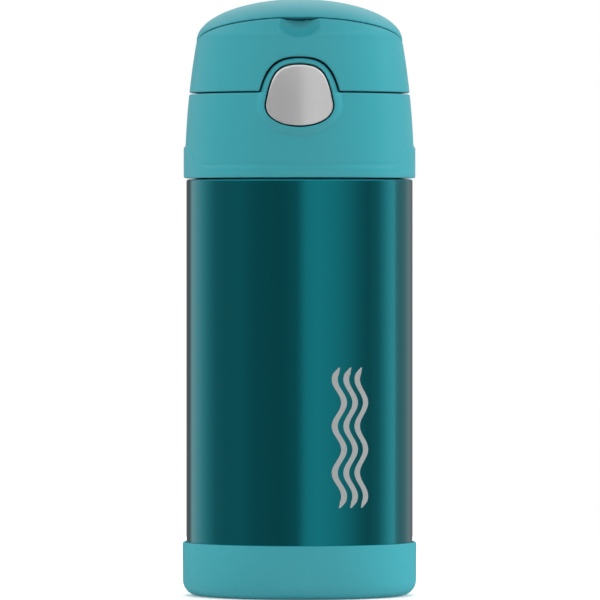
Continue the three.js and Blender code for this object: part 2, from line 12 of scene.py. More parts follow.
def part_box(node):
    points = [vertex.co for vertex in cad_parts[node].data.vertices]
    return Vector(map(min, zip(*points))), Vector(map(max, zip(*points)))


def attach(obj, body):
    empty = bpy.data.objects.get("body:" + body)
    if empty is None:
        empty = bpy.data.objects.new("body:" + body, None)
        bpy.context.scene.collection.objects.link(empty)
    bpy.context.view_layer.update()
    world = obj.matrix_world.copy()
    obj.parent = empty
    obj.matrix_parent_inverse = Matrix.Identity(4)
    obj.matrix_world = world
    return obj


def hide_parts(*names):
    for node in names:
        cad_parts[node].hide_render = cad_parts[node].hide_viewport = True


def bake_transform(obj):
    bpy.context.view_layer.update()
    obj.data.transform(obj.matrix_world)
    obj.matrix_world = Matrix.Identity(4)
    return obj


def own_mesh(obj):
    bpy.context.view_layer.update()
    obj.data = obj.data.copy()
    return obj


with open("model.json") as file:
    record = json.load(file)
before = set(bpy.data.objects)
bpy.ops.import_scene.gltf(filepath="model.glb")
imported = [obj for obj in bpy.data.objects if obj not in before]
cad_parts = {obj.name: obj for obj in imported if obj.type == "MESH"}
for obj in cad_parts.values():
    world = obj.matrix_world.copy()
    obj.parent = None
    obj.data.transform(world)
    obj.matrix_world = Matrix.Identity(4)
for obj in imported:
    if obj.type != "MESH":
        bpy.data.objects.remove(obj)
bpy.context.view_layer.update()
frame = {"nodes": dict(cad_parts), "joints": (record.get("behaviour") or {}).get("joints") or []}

MM = 0.001


def node_box(node):
    """Lowest and highest corner of a CAD node in millimetres."""
    low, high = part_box(node)
    return low / MM, high / MM


def joint_place(name):
    """The y and z of a hinge's axis in millimetres."""
    joint = next(joint for joint in frame["joints"] if joint["name"] == name)
    _, y, z = joint["pos_m"]
    return y / MM, z / MM


# ---- Sizes, in millimetres, from the frame where a node gives them ----

BOOT_R = node_box("base_boot")[1].x
BOOT_TOP = node_box("base_boot")[1].z
BOOT_CORNER = 4.6
SHELL_R = node_box("outer_shell")[1].x
SHELL_BOTTOM = node_box("outer_shell")[0].z
SHELL_TOP = 126.05
SHELL_WALL = 0.6
LINER_WALL = 0.5
LINER_FLOOR = node_box("inner_liner")[0].z
NECK_R = 24.6
LIP_TOP = node_box("inner_liner")[1].z
LINER_R = node_box("inner_liner")[1].x
THREAD_PITCH = 4
THREAD_START = 130.5
THREAD_TURNS = 1.25
THREAD_RISE = 1.0  # of the ridge's crest above the neck

COLLAR_BOTTOM = node_box("lid_collar")[0].z
BAND_R = node_box("lid_collar")[1].x
BAND_TOP = 129.6
GRIP_TOP = 136.0
SEAM = 151.8  # height of the collar's top edge, under the cap
GAP = 0.3  # between pieces that sit in each other
SEAM_GAP = 0.45  # the line that shows between collar and cap
WALL = 1.8  # of the lid's mouldings
LID_R = 34.75
LID_LEAN = 0.45  # how far the lid's side leans in by the start of its crown
LID_ROUNDING = 3.1  # and how far it curves in
CROWN_START = 168.1
CROWN_R = 31.2
CAP_TOP = node_box("flip_cap")[1].z

ARCH_HALF = 12.1
ARCH_TOP = 162.6
BUTTON_HALF = node_box("push_button")[1].x
BUTTON_LOW = 141.9
BUTTON_HIGH = node_box("push_button")[1].z
BUTTON_WAIST = 148.4  # height of its widest place
BUTTON_PROUD = 1.0
BUTTON_GAP = 0.42
HOUSING_BACK = -29.6

HINGE_Y, HINGE_Z = joint_place("cap_hinge")
KNUCKLE_R = 2.6
KNUCKLE_GAP = 0.5
EAR_X = (7.2, 13.0)  # the collar's two hinge ears, from the middle out
EAR_Y = (30.4, 33.6)
EAR_FOOT = 148.0
EAR_ROOM_X = (6.95, 13.3)  # what the cap leaves free for each ear
KNUCKLE_X = (3.6, 6.8)  # the cap's two hinge knuckles, from the middle out
KNUCKLE_Y = (30.6, 32.6)
KNUCKLE_HEAD = 158.0
KNUCKLE_ROOM = 7.0  # what the collar leaves free for both, each way from the middle
COIL_ROOM = 3.4  # what the cap leaves free for the hinge's spring
PIN_R = 1.1
PIN_BORE_R = 1.4
PIN_HALF = node_box("hinge_pin")[1].x
PIN_BORE_HALF = 20.0

BROW_Y = -26.7
BROW_FRONT = 174.6
BROW_SLOPE = 0.265
GRIP_HALF = 22.0
GRIP_FRONT = -9.0
GRIP_CORNER = 19.0
PIVOT_Y, PIVOT_Z = joint_place("handle_pivot")
PIVOT_END_R = 5.4
PIVOT_BORE_R = 1.8
HANDLE_GAP = 0.35
HANDLE_WALL = 1.7  # of the cap under the handle
NOTCH_R = 6.3
NOTCH_Y = -30.9
NOTCH_STRETCH = 1.17

FLANGE_LOW = node_box("spout_base")[0].z  # just above the lid's deck
SPOUT_Y = 8.0
SPOUT_LENGTH = 25.0
FOLD_Z = 150.0  # height of the folded spout's middle

SPRING_X = 8.3
SPRING_Y = -21.9
SPRING_Z = 147.0
WIRE_R = 0.25

WAVE_MIDDLES = (12.2, 15.9, 19.6)  # round the shell from its front
WAVE_LOW = 27.5
WAVE_HIGH = 69.5
WAVE_HALF = 0.95  # half of a line's width
WAVE_SWAY = 1.5
WAVE_LENGTH = 14.0
WAVE_LIFT = 0.03

OUT = 40.0  # well outside the lid on any side
ABOVE = 200.0  # well above the cap

# ---- Fineness of the meshes ----

ROUND = 192  # sides of a large turned surface
ARC_STEP = 12  # degrees between the points of a fillet
SHARP_ANGLE = 40  # degrees between faces that keep their edge

# Voxels of the mouldings, finer where a part is smaller.
INSERT_VOXEL = 0.35
SHELL_VOXEL = 0.3
LINER_VOXEL = 0.25
BUTTON_VOXEL = 0.2
PIN_VOXEL = 0.15


# ---- Mesh tools ----


def new_object(name, vertices, faces):
    """A smooth-shaded object from points in millimetres."""
    mesh = bpy.data.meshes.new(name)
    mesh.from_pydata([(x * MM, y * MM, z * MM) for x, y, z in vertices], [], faces)
    mesh.validate()
    obj = bpy.data.objects.new(name, mesh)
    bpy.context.scene.collection.objects.link(obj)
    face_outwards(mesh)
    mesh.shade_smooth()
    mesh.set_sharp_from_angle(angle=math.radians(SHARP_ANGLE))
    return obj


def face_outwards(mesh):
    """Welds points that meet and turns every face outwards."""
    work = bmesh.new()
    work.from_mesh(mesh)
    bmesh.ops.remove_doubles(work, verts=work.verts, dist=1e-7)
    bmesh.ops.recalc_face_normals(work, faces=work.faces)
    work.to_mesh(mesh)
    work.free()


def filleted(points):
    """Turns [r, z, radius] corners into a smooth outline. A radius of 0 or none keeps the corner."""
    made = []
    count = len(points)
    for i, (x, y, *radius) in enumerate(points):
        corner = Vector((x, y))
        if not radius or radius[0] <= 0:
            made.append((x, y))
            continue
        before = (Vector(points[i - 1][:2]) - corner).normalized()
        after = (Vector(points[(i + 1) % count][:2]) - corner).normalized()
        half = before.angle(after) / 2
        reach = radius[0] / math.tan(half)
        centre = corner + (before + after).normalized() * (radius[0] / math.sin(half))
        start = corner + before * reach - centre
        end = corner + after * reach - centre
        turn = start.angle_signed(end)
        steps = max(2, round(abs(turn) / math.radians(ARC_STEP)))
        for k in range(steps + 1):
            spoke = start.copy()
            spoke.rotate(Matrix.Rotation(-turn * k / steps, 2))
            made.append((centre.x + spoke.x, centre.y + spoke.y))
    return made


def turned(name, outline, sides=ROUND, at=(0, 0)):
    """A solid of revolution about Z from a closed outline of [radius, height] points."""
    rows = len(outline)
    vertices = []
    for k in range(sides):
        angle = 2 * math.pi * k / sides
        for r, z in outline:
            vertices.append((at[0] + r * math.sin(angle), at[1] - r * math.cos(angle), z))
    faces = []
    for k in range(sides):
        here, there = k * rows, ((k + 1) % sides) * rows
        for i in range(rows):
            j = (i + 1) % rows
            if outline[i][0] < 1e-6 and outline[j][0] < 1e-6:
                continue
            faces.append((here + i, there + i, there + j, here + j))
    return new_object(name, vertices, faces)


def tube(name, path, radii, sides, up=(1, 0, 0)):
    """A closed loft of round sections along a path, with a radius for each point."""
    side = Vector(up)
    points = [Vector(p) for p in path]
    vertices = []
    faces = []
    for i, point in enumerate(points):
        ahead = points[min(i + 1, len(points) - 1)] - points[max(i - 1, 0)]
        across = ahead.cross(side).normalized()
        flat = across.cross(ahead).normalized()
        for k in range(sides):
            angle = 2 * math.pi * k / sides
            spoke = flat * math.cos(angle) + across * math.sin(angle)
            vertices.append(tuple(point + spoke * radii[i]))
    for i in range(len(points) - 1):
        for k in range(sides):
            j = (k + 1) % sides
            faces.append((i * sides + k, i * sides + j, (i + 1) * sides + j, (i + 1) * sides + k))
    last = (len(points) - 1) * sides
    faces.append(tuple(reversed(range(sides))))
    faces.append(tuple(range(last, last + sides)))
    return new_object(name, vertices, faces)


def prism(name, outline, low, high, axis):
    """An outline extruded along an axis: y takes (x, z) points, x takes (y, z) points."""
    place = {
        "x": lambda a, b, d: (d, a, b),
        "y": lambda a, b, d: (a, d, b),
    }[axis]
    count = len(outline)
    vertices = [place(a, b, low) for a, b in outline]
    vertices += [place(a, b, high) for a, b in outline]
    faces = [tuple(range(count)), tuple(range(count, 2 * count))]
    for i in range(count):
        j = (i + 1) % count
        faces.append((i, j, count + j, count + i))
    return new_object(name, vertices, faces)


def box(x0, x1, y0, y1, z0, z1):
    """A plain block, as a tool for joining and cutting."""
    return prism("box", [(x0, z0), (x1, z0), (x1, z1), (x0, z1)], y0, y1, "y")


def rod_x(x0, x1, y, z, radius, sides=64):
    """A round rod along X."""
    angles = [2 * math.pi * k / sides for k in range(sides)]
    ring = [(y + radius * math.cos(t), z + radius * math.sin(t)) for t in angles]
    return prism("rod", ring, x0, x1, "x")


def mirrored(span):
    """The (low, high) limits of a span of x on the left, and then of the same one on the right."""
    near, far = span
    return [(-far, -near), (near, far)]


def bezier(p0, p1, p2, p3, steps):
    """Points of a cubic curve, without its last one."""
    made = []
    for k in range(steps):
        t = k / steps
        weights = ((1 - t) ** 3, 3 * t * (1 - t) ** 2, 3 * t * t * (1 - t), t**3)
        made.append(tuple(sum(w * p[c] for w, p in zip(weights, (p0, p1, p2, p3))) for c in (0, 1)))
    return made


def move(obj, x, y, z):
    """Moves an object's mesh by millimetres."""
    obj.data.transform(Matrix.Translation((x * MM, y * MM, z * MM)))
    return obj


def combine(obj, others, operation):
    """Joins, cuts or keeps obj with each of the others, which are used up."""
    for other in others:
        step = obj.modifiers.new("combine", "BOOLEAN")
        step.object = other
        step.operation = operation
        step.solver = "MANIFOLD"
        bake_modifiers(obj)
        bpy.data.objects.remove(other)
    return obj


def join(obj, *others):
    """Adds the others to obj."""
    return combine(obj, others, "UNION")


def cut(obj, *others):
    """Takes the others away from obj."""
    return combine(obj, others, "DIFFERENCE")


def keep(obj, *others):
    """Leaves only what obj shares with the others."""
    return combine(obj, others, "INTERSECT")


def bake_modifiers(obj):
    """Makes what the modifiers give the object's own mesh."""
    bpy.context.view_layer.update()
    graph = bpy.context.evaluated_depsgraph_get()
    mesh = bpy.data.meshes.new_from_object(obj.evaluated_get(graph))
    old = obj.data
    obj.modifiers.clear()
    obj.data = mesh
    bpy.data.meshes.remove(old)


def moulded(obj, voxel, passes=6):
    """Gives a solid the small round edges of a moulding: even small faces, then smoothed."""
    remesh = obj.modifiers.new("remesh", "REMESH")
    remesh.mode = "VOXEL"
    remesh.voxel_size = voxel * MM
    remesh.use_smooth_shade = True
    relax = obj.modifiers.new("relax", "SMOOTH")
    relax.factor = 0.5
    relax.iterations = passes
    bake_modifiers(obj)
    obj.data.shade_smooth()
    return obj


def copy_of(node, name):
    """A welded copy of a CAD node as a piece of its own."""
    mesh = bpy.data.meshes.new(name)
    work = bmesh.new()
    work.from_mesh(frame["nodes"][node].data)
    bmesh.ops.remove_doubles(work, verts=work.verts, dist=1e-6)
    work.to_mesh(mesh)
    work.free()
    mesh.materials.clear()
    obj = bpy.data.objects.new(name, mesh)
    bpy.context.scene.collection.objects.link(obj)
    return obj


def finish_piece(obj, name, body, slot, material, *nodes):
    """Names a piece, paints it, lets it ride on its body and stand for its CAD nodes."""
    obj.name = name
    obj.data.name = name
    obj.data.materials.clear()
    obj.data.materials.append(material)
    if body:
        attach(obj, body)
    if nodes:
        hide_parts(*nodes)
    return obj


# ---- Materials ----


class Shader:
    """A Principled material with helpers for its nodes."""

    def __init__(self, name, colour, roughness, metallic=0.0):
        self.material = bpy.data.materials.new(name)
        self.material.use_nodes = True
        self.nodes = self.material.node_tree.nodes
        self.links = self.material.node_tree.links
        self.main = self.nodes["Principled BSDF"]
        self.set("Base Color", (*colour, 1))
        self.set("Roughness", roughness)
        self.set("Metallic", metallic)

    def set(self, socket, value):
        self.main.inputs[socket].default_value = value

    def place(self, stretch=(1, 1, 1)):
        """Object coordinates, scaled per axis."""
        where = self.nodes.new("ShaderNodeTexCoord")
        scale = self.nodes.new("ShaderNodeMapping")
        scale.inputs["Scale"].default_value = stretch
        self.links.new(where.outputs["Object"], scale.inputs["Vector"])
        return scale.outputs["Vector"]

    def noise(self, scale, detail=3.0, stretch=(1, 1, 1)):
        made = self.nodes.new("ShaderNodeTexNoise")
        made.inputs["Scale"].default_value = scale
        made.inputs["Detail"].default_value = detail
        self.links.new(self.place(stretch), made.inputs["Vector"])
        return made.outputs["Fac"]

    def spread(self, factor, low, high):
        """Maps a 0 to 1 factor to a range, widening the middle of a noise."""
        made = self.nodes.new("ShaderNodeMapRange")
        made.inputs["From Min"].default_value = 0.3
        made.inputs["From Max"].default_value = 0.7
        made.inputs["To Min"].default_value = low
        made.inputs["To Max"].default_value = high
        self.links.new(factor, made.inputs["Value"])
        return made.outputs["Result"]

    def vary_colour(self, factor, first, second):
        mix = self.nodes.new("ShaderNodeMix")
        mix.data_type = "RGBA"
        mix.inputs["A"].default_value = (*first, 1)
        mix.inputs["B"].default_value = (*second, 1)
        self.links.new(factor, mix.inputs["Factor"])
        self.links.new(mix.outputs["Result"], self.main.inputs["Base Color"])

    def vary_roughness(self, factor, low, high):
        self.links.new(self.spread(factor, low, high), self.main.inputs["Roughness"])

    def bump(self, factor, height):
        """Height is in metres."""
        made = self.nodes.new("ShaderNodeBump")
        made.inputs["Distance"].default_value = height
        self.links.new(factor, made.inputs["Height"])
        self.links.new(made.outputs["Normal"], self.main.inputs["Normal"])


def shade(colour, factor):
    """A colour made darker or lighter by a factor."""
    return tuple(c * factor for c in colour)


def teal_plastic():
    """The lid's satin moulding, with a fine spark-eroded grain and a little light let in."""
    colour = (0.024, 0.315, 0.368)
    made = Shader("teal_plastic", colour, 0.42)
    made.vary_colour(made.spread(made.noise(60), 0, 1), shade(colour, 0.985), shade(colour, 1.015))
    made.vary_roughness(made.noise(900, 2), 0.39, 0.46)
    made.bump(made.noise(5200, 2), 0.000012)
    made.set("Specular IOR Level", 0.65)
    made.set("Sheen Weight", 0.1)
    made.set("Sheen Roughness", 0.35)
    made.set("Subsurface Weight", 0.04)
    made.set("Subsurface Radius", (0.3, 1.0, 1.0))
    made.set("Subsurface Scale", 0.0008)
    return made.material


def teal_rubber():
    """The boot's matt rubber, a little patchier and rougher than the lid."""
    colour = (0.023, 0.315, 0.368)
    made = Shader("teal_rubber", colour, 0.55)
    made.vary_colour(made.spread(made.noise(45), 0, 1), shade(colour, 0.98), shade(colour, 1.02))
    made.vary_roughness(made.noise(700, 2), 0.5, 0.6)
    made.bump(made.noise(3600, 3), 0.00002)
    made.set("Specular IOR Level", 0.65)
    return made.material


def teal_steel():
    """Fine metallic flake under a clear coat, faintly streaked up and down."""
    colour = (0.001, 0.40, 0.475)
    made = Shader("teal_steel", colour, 0.1, 1.0)
    made.vary_colour(made.spread(made.noise(9000, 1), 0, 1), shade(colour, 0.96), shade(colour, 1.05))
    made.vary_roughness(made.noise(2500, 2, (1, 1, 0.25)), 0.085, 0.13)
    made.bump(made.noise(7000, 1), 0.0000015)
    made.set("Coat Weight", 1.0)
    made.set("Coat IOR", 1.3)
    made.set("Coat Roughness", 0.03)
    return made.material


def bare_steel(name="bare_steel", stretch=(1, 1, 24)):
    """Brushed steel, with its streaks squeezed along Z."""
    colour = (0.62, 0.63, 0.64)
    made = Shader(name, colour, 0.3, 1.0)
    streaks = made.noise(260, 3, stretch)
    made.vary_colour(made.spread(streaks, 0, 1), shade(colour, 0.92), shade(colour, 1.06))
    made.vary_roughness(streaks, 0.24, 0.36)
    made.bump(streaks, 0.000004)
    return made.material


def silver_paint(name="silver_paint", colour=(0.92, 0.92, 0.92), metallic=0.7):
    """Satin silver with a fine flake, for the button and, duller, for the print."""
    made = Shader(name, colour, 0.14, metallic)
    made.vary_colour(made.spread(made.noise(7000, 1), 0, 1), shade(colour, 0.95), shade(colour, 1.04))
    made.vary_roughness(made.noise(2600, 2), 0.12, 0.17)
    made.bump(made.noise(6000, 1), 0.000002)
    return made.material


def grey_plastic():
    """Dark moulded plastic with a visible grain."""
    colour = (0.035, 0.05, 0.056)
    made = Shader("grey_plastic", colour, 0.5)
    made.vary_colour(made.spread(made.noise(80), 0, 1), shade(colour, 0.95), shade(colour, 1.05))
    made.vary_roughness(made.noise(900, 2), 0.45, 0.56)
    made.bump(made.noise(4200, 2), 0.00002)
    return made.material


def silicone():
    """Milky silicone that lets light in."""
    colour = (0.72, 0.76, 0.76)
    made = Shader("silicone", colour, 0.45)
    made.vary_colour(made.spread(made.noise(90), 0, 1), shade(colour, 0.97), shade(colour, 1.02))
    made.vary_roughness(made.noise(800, 2), 0.4, 0.52)
    made.bump(made.noise(3000, 2), 0.00001)
    made.set("Subsurface Weight", 0.35)
    made.set("Subsurface Radius", (1.0, 1.0, 1.0))
    made.set("Subsurface Scale", 0.002)
    return made.material


def clear_plastic():
    """The straw's slightly hazy clear plastic."""
    colour = (0.8, 0.88, 0.89)
    made = Shader("clear_plastic", colour, 0.18)
    made.vary_colour(made.spread(made.noise(120), 0, 1), shade(colour, 0.97), shade(colour, 1.03))
    made.vary_roughness(made.noise(500, 2), 0.14, 0.24)
    made.bump(made.noise(1500, 2), 0.000006)
    made.set("Transmission Weight", 0.7)
    made.set("IOR", 1.45)
    return made.material


# ---- Curves that several pieces share ----


def lid_radius(z):
    """Radius of the lid's side, which leans and curves in towards the crown."""
    u = (z - BAND_TOP) / (CROWN_START - BAND_TOP)
    return LID_R - LID_LEAN * u - LID_ROUNDING * u * u


def lid_side(z0, z1, inset, steps):
    """The lid's side as [radius, height] points from one height to another."""
    heights = [z0 + (z1 - z0) * i / steps for i in range(steps + 1)]
    return [(lid_radius(z) - inset, z) for z in heights]


def crown(inset):
    """A quarter of an ellipse from the lid's side to its top."""
    steps = 36
    height = CAP_TOP - CROWN_START - inset
    made = []
    for i in range(1, steps + 1):
        angle = math.pi / 2 * i / steps
        r = 0.0 if i == steps else (CROWN_R - inset) * math.cos(angle)
        made.append((r, CROWN_START + height * math.sin(angle)))
    return made


def lid_form(start, inset=0.0):
    """The lid's whole outer form as a filled solid, from a height up."""
    outline = [(0.0, start), *lid_side(start, CROWN_START, inset, 16), *crown(inset)]
    return turned("lid_form", outline)


def arch(grow, foot):
    """The cap's front cut-out as (x, z) points: straight legs down to the foot, and a round head."""
    half = ARCH_HALF + grow
    top = ARCH_TOP + grow
    right = bezier((half, SEAM), (half - 2.1, top - 2), (half - 5.6, top), (0, top), 24)
    left = [(-x, z) for x, z in reversed(right[1:])]
    return [(-half, foot), (half, foot), *right, (0, top), *left, (-half, SEAM)]


def button_outline(grow):
    """The push button from the front, as (x, z) points: a round head on a wider round foot."""
    half = BUTTON_HALF + grow
    top = BUTTON_HIGH + grow
    low = BUTTON_LOW - grow
    waist = BUTTON_WAIST
    upper = bezier((0, top), (-half * 0.66, top), (-half * 0.83, top - 2.7), (-half, waist), 24)
    lower = bezier((-half, waist), (-half * 1.04, waist - 3.8), (-half * 0.62, low), (0, low), 24)
    left = [*upper, *lower, (0, low)]
    return [*left, *[(-x, z) for x, z in reversed(left[1:-1])]]


def brow(y):
    """Height of the line under the folded handle, which slopes down towards the back."""
    return BROW_FRONT - BROW_SLOPE * (y - BROW_Y)


def handle_side(grow):
    """Everything above the brow line, as (y, z) points, with the handle's round end at its pivot."""
    drop = grow * math.hypot(1, BROW_SLOPE)
    start = -math.atan(BROW_SLOPE) - math.pi / 2
    r = PIVOT_END_R + grow
    steps = 28
    turn = [start + (math.pi / 2 - start) * k / steps for k in range(steps + 1)]
    end = [(PIVOT_Y + r * math.cos(t), PIVOT_Z + r * math.sin(t)) for t in turn]
    return [(-OUT, brow(-OUT) - drop), *end, (PIVOT_Y, ABOVE), (-OUT, ABOVE)]


def grip_form(shrink):
    """What shows inside the handle, turned about the handle's pivot axis."""
    half = GRIP_HALF - shrink
    outline = [(0.0, -half)]
    steps = 24
    for side in (-1, 1):
        for k in range(steps + 1):
            angle = math.pi / 2 * (k if side < 0 else steps - k) / steps
            x = side * (half - GRIP_CORNER + GRIP_CORNER * math.cos(angle))
            y = GRIP_FRONT + GRIP_CORNER * (1 - math.sin(angle))
            outline.append((math.hypot(y - PIVOT_Y, brow(y) - PIVOT_Z) - shrink, x))
    outline.append((0.0, half))
    made = turned("grip_form", outline, 256)
    spin = Matrix.Rotation(math.pi / 2, 4, "Y")
    made.data.transform(Matrix.Translation((0, PIVOT_Y * MM, PIVOT_Z * MM)) @ spin)
    return made


def handle_space(grow):
    """The recess that the folded handle lies in, with room for its ends to swing."""
    behind = PIVOT_Y + PIVOT_END_R + 1 + grow
    space = prism("space", handle_side(grow), -OUT, OUT, "x")
    join(space, box(-OUT, OUT, PIVOT_Y, behind, PIVOT_Z, ABOVE))
    return cut(space, grip_form(grow))


def hinge_bore():
    """The cap hinge's bore, which collar and cap share."""
    return rod_x(-PIN_BORE_HALF, PIN_BORE_HALF, HINGE_Y, HINGE_Z, PIN_BORE_R)


def pivot_bore(half):
    """The handle's bore, which reaches half its length to each side."""
    return rod_x(-half, half, PIVOT_Y, PIVOT_Z, PIVOT_BORE_R)


# ---- The vacuum body ----


def steel_shell():
    """The coloured outer wall, drawn in to the threaded neck."""
    r = SHELL_R
    wall = SHELL_WALL
    top = SHELL_TOP
    neck_top = LIP_TOP - wall - GAP
    outline = filleted(
        [
            (r - wall, SHELL_BOTTOM),
            (r, SHELL_BOTTOM, 0.9),
            (r, top, 0.7),
            (NECK_R + 1.6, top + 0.6, 1.2),
            (NECK_R, top + 2.2, 0.8),
            (NECK_R, neck_top, 0.15),
            (NECK_R - wall, neck_top),
            (NECK_R - wall, top + 1.0, 0.8),
            (NECK_R + 0.4, top - 0.1, 0.8),
            (r - wall, top - wall - 0.1, 1.0),
        ]
    )
    shell = turned("steel_shell", outline)
    return join(shell, neck_thread())


def neck_thread():
    """A rolled thread ridge with a round top that runs out at both ends."""
    sunk = 0.25
    half_height = 0.85
    per_turn = 96
    fade = 10
    steps = round(THREAD_TURNS * per_turn)
    section = [math.pi * k / 8 for k in range(9)]
    vertices = []
    faces = []
    for i in range(steps + 1):
        angle = 2 * math.pi * i / per_turn
        z = THREAD_START + THREAD_PITCH * i / per_turn
        ease = min(1.0, 0.1 + min(i, steps - i) / fade)
        for t in section:
            r = NECK_R - sunk + (THREAD_RISE + sunk) * ease * math.sin(t)
            height = z - half_height * math.cos(t)
            vertices.append((r * math.cos(angle), r * math.sin(angle), height))
    rows = len(section)
    for i in range(steps):
        for k in range(rows):
            j = (k + 1) % rows
            faces.append((i * rows + k, i * rows + j, (i + 1) * rows + j, (i + 1) * rows + k))
    last = steps * rows
    faces.append(tuple(range(rows)))
    faces.append(tuple(range(last, last + rows)))
    return new_object("neck_thread", vertices, faces)


def steel_liner():
    """The inner wall, whose rim turns out over the neck."""
    wall = LINER_WALL
    r = LINER_R
    neck = NECK_R - SHELL_WALL - GAP
    floor = LINER_FLOOR
    outline = filleted(
        [
            (0, floor + 2),
            (10, floor + 1.5, 6),
            (r - 8, floor, 6),
            (r, floor, 5),
            (r, 116, 8),
            (neck, 124.2, 3),
            (neck, LIP_TOP - SHELL_WALL, 0.2),
            (NECK_R, LIP_TOP - SHELL_WALL, 0.05),
            (NECK_R, LIP_TOP, 0.25),
            (neck - wall, LIP_TOP, 0.3),
            (neck - wall, 123.9, 3),
            (r - wall, 115.7, 8),
            (r - wall, floor + wall, 4.5),
            (r - 8, floor + wall, 6),
            (10, floor + 1.5 + wall, 6),
            (0, floor + 2 + wall),
        ]
    )
    return turned("steel_liner", outline)


def rubber_boot():
    """The soft cup round the foot, with a shallow recess below it."""
    inner = SHELL_R + GAP
    floor = SHELL_BOTTOM - GAP
    outline = filleted(
        [
            (0, 1.2),
            (19, 1.2, 0.6),
            (20.4, 0, 0.5),
            (BOOT_R - 0.15, 0, BOOT_CORNER),
            (BOOT_R, BOOT_TOP, 0.55),
            (inner, BOOT_TOP, 0.3),
            (inner, floor, 1.0),
            (0, floor),
        ]
    )
    return turned("rubber_boot", outline)


def bottom_plate():
    """The plate that closes the shell, raised in the middle round the pump-out hole."""
    rim = SHELL_R - SHELL_WALL - GAP
    low = SHELL_BOTTOM
    high = low + SHELL_WALL
    outline = filleted(
        [
            (1.2, low + 2.4),
            (7, low + 2.4, 0.8),
            (9, low, 0.8),
            (rim, low, 0.2),
            (rim, high, 0.2),
            (8.6, high, 0.8),
            (6.6, high + 2.4, 0.8),
            (1.2, high + 2.4),
        ]
    )
    return turned("bottom_plate", outline)


# ---- The lid ----


def grip_pads():
    """The band's two pads, left and right, that rise in an S-curve from front and back."""
    root = 33.6
    foot = BAND_TOP - 1
    edge, level = -21.5, -6.5
    outline = filleted([(root, foot), (BAND_R, foot), (BAND_R, GRIP_TOP, 0.6), (root, GRIP_TOP)])
    ring = turned("grip_pads", outline)
    rise = bezier((edge, BAND_TOP), (-14, BAND_TOP + 0.6), (-12, GRIP_TOP), (level, GRIP_TOP), 32)
    side = [(edge, foot), *rise, (level, GRIP_TOP + 0.01)]
    other = [(-y, z) for y, z in reversed(side)]
    return keep(ring, prism("pads", [*side, *other], -OUT, OUT, "x"))


# The housing's edge falls away towards the arch, as [distance in from the edge, depth] steps.
HOUSING_EDGE = [(0, 0.8), (0.25, 0.5), (0.55, 0.27), (0.95, 0.1), (1.4, 0)]

# The soft rise round the button, as [distance out from it, height] steps.
BEZEL = [(2.8, 0.15), (2.5, 0.35), (2.2, 0.55), (1.9, 0.75), (1.6, 0.9), (1.2, 1.0), (0.8, 1.03)]


def collar():
    """The outer lid ring: band, grip pads, the button's housing and bezel, and the hinge ears."""
    inner = [(r, z) for r, z in reversed(lid_side(BAND_TOP, SEAM, WALL, 8))]
    outline = filleted(
        [
            (BAND_R - WALL, COLLAR_BOTTOM, 0.2),
            (BAND_R, COLLAR_BOTTOM, 0.5),
            (BAND_R, BAND_TOP - 0.1, 0.12),
            (lid_radius(BAND_TOP) - 0.15, BAND_TOP + 0.35, 0.1),
        ]
    )
    wall = turned("collar", [*outline, *lid_side(BAND_TOP + 1.6, SEAM, 0, 16), *inner])
    join(wall, grip_pads())
    foot = 136
    for margin, inset in HOUSING_EDGE:
        step = prism("housing", arch(-SEAM_GAP - margin, foot + 3.5), -OUT, HOUSING_BACK, "y")
        join(wall, keep(lid_form(foot, inset), step))
    for margin, lift in BEZEL:
        step = prism("bezel", button_outline(margin), -OUT, HOUSING_BACK, "y")
        cut(step, box(-20, 20, -OUT - 5, 0, SEAM, 180))
        join(wall, keep(lid_form(foot, -lift), step))
    for low, high in mirrored(EAR_X):
        ear = rod_x(low, high, HINGE_Y, HINGE_Z, KNUCKLE_R)
        join(ear, box(low, high, *EAR_Y, EAR_FOOT, HINGE_Z))
        join(wall, ear)
    cut(
        wall,
        prism("pocket", button_outline(BUTTON_GAP), -OUT, -20, "y"),
        rod_x(-KNUCKLE_ROOM, KNUCKLE_ROOM, HINGE_Y, HINGE_Z, KNUCKLE_R + KNUCKLE_GAP),
        hinge_bore(),
    )
    return moulded(wall, SHELL_VOXEL)


def button_face():
    """The button's front, with the short stem behind it."""
    back = HOUSING_BACK - 1
    stem_half = 3.5
    face = prism("face", button_outline(0), -OUT, back, "y")
    keep(face, lid_form(138, -BUTTON_PROUD))
    join(face, box(-stem_half, stem_half, back - 0.5, HOUSING_BACK + 0.1, 147, 152))
    return moulded(face, BUTTON_VOXEL, 8)


def coil(name, radius, length, turns, axis):
    """A coil of wire about X or Y, centred on the origin."""
    per_turn = 20
    steps = round(turns * per_turn)
    path = []
    for k in range(steps + 1):
        angle = 2 * math.pi * turns * k / steps
        a, b = radius * math.cos(angle), radius * math.sin(angle)
        along = length * (k / steps - 0.5)
        path.append({"x": (along, a, b), "y": (a, along, b)}[axis])
    up = (1, 0, 0) if axis == "x" else (0, 1, 0)
    return wire(name, path, up)


def wire(name, path, up=(1, 0, 0)):
    """A length of spring wire along a path."""
    return tube(name, path, [WIRE_R] * len(path), 10, up)


def button_spring(side):
    """One of the two coils behind the latch: side is -1 for left and 1 for right."""
    return move(coil("spring", 1.7, 4.2, 4.5, "y"), side * SPRING_X, SPRING_Y, SPRING_Z)


def hinge_spring():
    """The coil round the pin, with one leg that reaches down the inside of the collar."""
    turns = move(coil("turns", 1.75, 5.4, 5.5, "x"), 0, HINGE_Y, HINGE_Z)
    leg_x = 2.7
    leg = wire("leg", [(leg_x, 30.25, HINGE_Z), (leg_x, 30.2, 151), (leg_x, 30.2, 147.5)])
    return join(turns, leg)


def sealing_ring():
    """The silicone ring between the lid and the neck's rim."""
    bottom, top = node_box("lid_gasket")
    low, high = bottom.z, top.z
    inner, outer = top.x - 2.7, top.x
    corner = 0.4
    section = [(inner, low, corner), (outer, low, corner), (outer, high, corner), (inner, high, corner)]
    return turned("ring", filleted(section))


